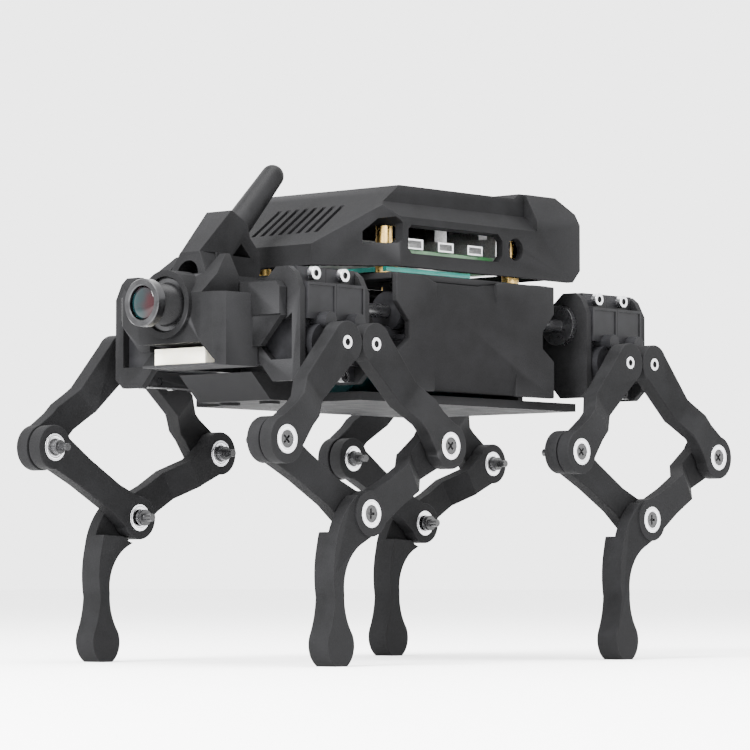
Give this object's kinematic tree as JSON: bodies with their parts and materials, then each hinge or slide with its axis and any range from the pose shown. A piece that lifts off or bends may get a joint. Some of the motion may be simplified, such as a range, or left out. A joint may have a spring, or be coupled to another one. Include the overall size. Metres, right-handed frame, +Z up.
{
  "type": "quadruped robot dog",
  "caption": "Walking robot dog with linkage legs driven by servos, a camera head with a lamp, an antenna and a single-board computer in a vented case on its back.",
  "frame": {"origin": "on the ground, below the centre of the robot's bounding box, standing at rest", "axes": "+X towards the head, +Y towards the robot's left, +Z up"},
  "size_m": [0.212, 0.1018, 0.146],
  "materials": {
    "printed_nylon": "matt laser-sintered nylon with a fine grain",
    "servo_black": "moulded black plastic",
    "bright_steel": "bright bearing steel",
    "dark_steel": "black oxide steel",
    "green_board": "solder mask over glass fibre",
    "teal_board": "teal solder mask",
    "brass": "turned brass",
    "battery_wrap": "shrink wrap",
    "lens_black": "black anodised",
    "lamp_white": "diffuser",
    "camera_black": "moulded black plastic",
    "antenna_rubber": "satin rubber"
  },
  "bodies": {
    "body": {"chassis_frame": "printed_nylon", "top_deck": "printed_nylon", "side_cover_left": "printed_nylon", "side_cover_right": "printed_nylon", "roll_servos": "servo_black", "battery_pack": "battery_wrap", "driver_board": "teal_board", "computer_board": "green_board", "computer_case": "printed_nylon", "body_fasteners": "brass", "head_shell": "printed_nylon", "camera_module": "camera_black", "led_panel": "lamp_white", "antenna_holder": "printed_nylon", "antenna": "antenna_rubber"},
    "lens": {"camera_lens": "lens_black"},
    "front_left_hip": {"front_left_hip_bracket": "printed_nylon", "front_left_crank_servos": "servo_black", "front_left_hip_fittings": "dark_steel"},
    "front_left_front_crank": {"front_left_front_crank": "printed_nylon", "front_left_front_crank_fittings": "bright_steel"},
    "front_left_rear_crank": {"front_left_rear_crank": "printed_nylon", "front_left_rear_crank_fittings": "bright_steel"},
    "front_left_front_link": {"front_left_front_link": "printed_nylon", "front_left_front_link_bearings": "bright_steel"},
    "front_left_foot_link": {"front_left_foot_link": "printed_nylon", "front_left_foot_link_fittings": "bright_steel"},
    "rear_left_hip": {"rear_left_hip_bracket": "printed_nylon", "rear_left_crank_servos": "servo_black", "rear_left_hip_fittings": "dark_steel"},
    "rear_left_front_crank": {"rear_left_front_crank": "printed_nylon", "rear_left_front_crank_fittings": "bright_steel"},
    "rear_left_rear_crank": {"rear_left_rear_crank": "printed_nylon", "rear_left_rear_crank_fittings": "bright_steel"},
    "rear_left_front_link": {"rear_left_front_link": "printed_nylon", "rear_left_front_link_bearings": "bright_steel"},
    "rear_left_foot_link": {"rear_left_foot_link": "printed_nylon", "rear_left_foot_link_fittings": "bright_steel"},
    "front_right_hip": {"front_right_hip_bracket": "printed_nylon", "front_right_crank_servos": "servo_black", "front_right_hip_fittings": "dark_steel"},
    "front_right_front_crank": {"front_right_front_crank": "printed_nylon", "front_right_front_crank_fittings": "bright_steel"},
    "front_right_rear_crank": {"front_right_rear_crank": "printed_nylon", "front_right_rear_crank_fittings": "bright_steel"},
    "front_right_front_link": {"front_right_front_link": "printed_nylon", "front_right_front_link_bearings": "bright_steel"},
    "front_right_foot_link": {"front_right_foot_link": "printed_nylon", "front_right_foot_link_fittings": "bright_steel"},
    "rear_right_hip": {"rear_right_hip_bracket": "printed_nylon", "rear_right_crank_servos": "servo_black", "rear_right_hip_fittings": "dark_steel"},
    "rear_right_front_crank": {"rear_right_front_crank": "printed_nylon", "rear_right_front_crank_fittings": "bright_steel"},
    "rear_right_rear_crank": {"rear_right_rear_crank": "printed_nylon", "rear_right_rear_crank_fittings": "bright_steel"},
    "rear_right_front_link": {"rear_right_front_link": "printed_nylon", "rear_right_front_link_bearings": "bright_steel"},
    "rear_right_foot_link": {"rear_right_foot_link": "printed_nylon", "rear_right_foot_link_fittings": "bright_steel"}
  },
  "joints": [
    {"name": "lens_focus", "type": "hinge", "parent": "body", "child": "lens", "pos_m": [0.095, 0, 0.1023], "axis": [1, 0, 0], "range_deg": [-180, 180]},
    {"name": "front_left_hip_roll", "type": "hinge", "parent": "body", "child": "front_left_hip", "pos_m": [0.06475, 0.0271, 0.1026], "axis": [1, 0, 0], "range_deg": [-15, 25]},
    {"name": "front_left_front_crank_swing", "type": "hinge", "parent": "front_left_hip", "child": "front_left_front_crank", "pos_m": [0.07085, 0.0465, 0.0908], "axis": [0, -1, 0], "range_deg": [-25, 25]},
    {"name": "front_left_rear_crank_swing", "type": "hinge", "parent": "front_left_hip", "child": "front_left_rear_crank", "pos_m": [0.05865, 0.0465, 0.0908], "axis": [0, -1, 0], "range_deg": [-12.5, 12.5]},
    {"name": "front_left_front_knee", "type": "hinge", "parent": "front_left_front_crank", "child": "front_left_front_link", "pos_m": [0.09928, 0.0465, 0.06266], "axis": [0, -1, 0], "range_deg": [-18.3, 18.3]},
    {"name": "front_left_rear_knee", "type": "hinge", "parent": "front_left_rear_crank", "child": "front_left_foot_link", "pos_m": [0.03022, 0.0465, 0.06266], "axis": [0, -1, 0], "range_deg": [-11.75, 11.75]},
    {"name": "rear_left_hip_roll", "type": "hinge", "parent": "body", "child": "rear_left_hip", "pos_m": [-0.06475, 0.0271, 0.1026], "axis": [1, 0, 0], "range_deg": [-15, 25]},
    {"name": "rear_left_front_crank_swing", "type": "hinge", "parent": "rear_left_hip", "child": "rear_left_front_crank", "pos_m": [-0.05865, 0.0465, 0.0908], "axis": [0, -1, 0], "range_deg": [-25, 25]},
    {"name": "rear_left_rear_crank_swing", "type": "hinge", "parent": "rear_left_hip", "child": "rear_left_rear_crank", "pos_m": [-0.07085, 0.0465, 0.0908], "axis": [0, -1, 0], "range_deg": [-12.5, 12.5]},
    {"name": "rear_left_front_knee", "type": "hinge", "parent": "rear_left_front_crank", "child": "rear_left_front_link", "pos_m": [-0.03022, 0.0465, 0.06266], "axis": [0, -1, 0], "range_deg": [-18.3, 18.3]},
    {"name": "rear_left_rear_knee", "type": "hinge", "parent": "rear_left_rear_crank", "child": "rear_left_foot_link", "pos_m": [-0.09928, 0.0465, 0.06266], "axis": [0, -1, 0], "range_deg": [-11.75, 11.75]},
    {"name": "front_right_hip_roll", "type": "hinge", "parent": "body", "child": "front_right_hip", "pos_m": [0.06475, -0.0271, 0.1026], "axis": [-1, 0, 0], "range_deg": [-15, 25]},
    {"name": "front_right_front_crank_swing", "type": "hinge", "parent": "front_right_hip", "child": "front_right_front_crank", "pos_m": [0.07085, -0.0465, 0.0908], "axis": [0, -1, 0], "range_deg": [-25, 25]},
    {"name": "front_right_rear_crank_swing", "type": "hinge", "parent": "front_right_hip", "child": "front_right_rear_crank", "pos_m": [0.05865, -0.0465, 0.0908], "axis": [0, -1, 0], "range_deg": [-12.5, 12.5]},
    {"name": "front_right_front_knee", "type": "hinge", "parent": "front_right_front_crank", "child": "front_right_front_link", "pos_m": [0.09928, -0.0465, 0.06266], "axis": [0, -1, 0], "range_deg": [-18.3, 18.3]},
    {"name": "front_right_rear_knee", "type": "hinge", "parent": "front_right_rear_crank", "child": "front_right_foot_link", "pos_m": [0.03022, -0.0465, 0.06266], "axis": [0, -1, 0], "range_deg": [-11.75, 11.75]},
    {"name": "rear_right_hip_roll", "type": "hinge", "parent": "body", "child": "rear_right_hip", "pos_m": [-0.06475, -0.0271, 0.1026], "axis": [-1, 0, 0], "range_deg": [-15, 25]},
    {"name": "rear_right_front_crank_swing", "type": "hinge", "parent": "rear_right_hip", "child": "rear_right_front_crank", "pos_m": [-0.05865, -0.0465, 0.0908], "axis": [0, -1, 0], "range_deg": [-25, 25]},
    {"name": "rear_right_rear_crank_swing", "type": "hinge", "parent": "rear_right_hip", "child": "rear_right_rear_crank", "pos_m": [-0.07085, -0.0465, 0.0908], "axis": [0, -1, 0], "range_deg": [-12.5, 12.5]},
    {"name": "rear_right_front_knee", "type": "hinge", "parent": "rear_right_front_crank", "child": "rear_right_front_link", "pos_m": [-0.03022, -0.0465, 0.06266], "axis": [0, -1, 0], "range_deg": [-18.3, 18.3]},
    {"name": "rear_right_rear_knee", "type": "hinge", "parent": "rear_right_rear_crank", "child": "rear_right_foot_link", "pos_m": [-0.09928, -0.0465, 0.06266], "axis": [0, -1, 0], "range_deg": [-11.75, 11.75]}
  ],
  "couplings": [
    {"joint": "front_left_rear_crank_swing", "follows": "front_left_front_crank_swing", "ratio": 0.5},
    {"joint": "front_left_front_knee", "follows": "front_left_front_crank_swing", "ratio": -0.732},
    {"joint": "front_left_rear_knee", "follows": "front_left_front_crank_swing", "ratio": 0.47},
    {"joint": "rear_left_rear_crank_swing", "follows": "rear_left_front_crank_swing", "ratio": 0.5},
    {"joint": "rear_left_front_knee", "follows": "rear_left_front_crank_swing", "ratio": -0.732},
    {"joint": "rear_left_rear_knee", "follows": "rear_left_front_crank_swing", "ratio": 0.47},
    {"joint": "front_right_rear_crank_swing", "follows": "front_right_front_crank_swing", "ratio": 0.5},
    {"joint": "front_right_front_knee", "follows": "front_right_front_crank_swing", "ratio": -0.732},
    {"joint": "front_right_rear_knee", "follows": "front_right_front_crank_swing", "ratio": 0.47},
    {"joint": "rear_right_rear_crank_swing", "follows": "rear_right_front_crank_swing", "ratio": 0.5},
    {"joint": "rear_right_front_knee", "follows": "rear_right_front_crank_swing", "ratio": -0.732},
    {"joint": "rear_right_rear_knee", "follows": "rear_right_front_crank_swing", "ratio": 0.47}
  ]
}
